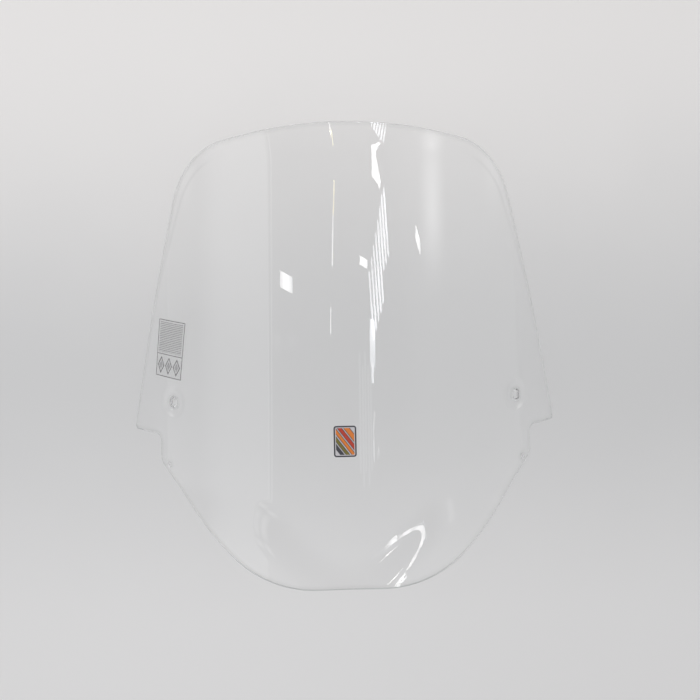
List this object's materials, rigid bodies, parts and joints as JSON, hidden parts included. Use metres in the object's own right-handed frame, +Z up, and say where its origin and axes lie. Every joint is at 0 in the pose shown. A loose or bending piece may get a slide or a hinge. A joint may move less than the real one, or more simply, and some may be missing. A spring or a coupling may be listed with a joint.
{
  "type": "windshield screen",
  "caption": "Clear formed acrylic windshield screen for a scooter, with dished grommet seats beside its ears, lower screw holes, a flared top edge and a stepped lower lip.",
  "frame": {"origin": "centre of the bounding box on the surface the screen lies on, under its crown", "axes": "+Z up out of the crown's outer side, +Y towards the screen's top edge, +X to its right as seen from outside with the top edge up"},
  "size_m": [0.648, 0.6346, 0.2209],
  "materials": {
    "clear_acrylic": "polished clear acrylic, see-through",
    "clear_grommet": "soft clear plastic, slightly hazy",
    "badge_print": "printed and glossy",
    "label_film": "clear film with grey print"
  },
  "bodies": {
    "root": {"windshield_sheet": "clear_acrylic", "left_grommet": "clear_grommet", "right_grommet": "clear_grommet", "front_badge": "badge_print", "side_label": "label_film"}
  },
  "joints": []
}
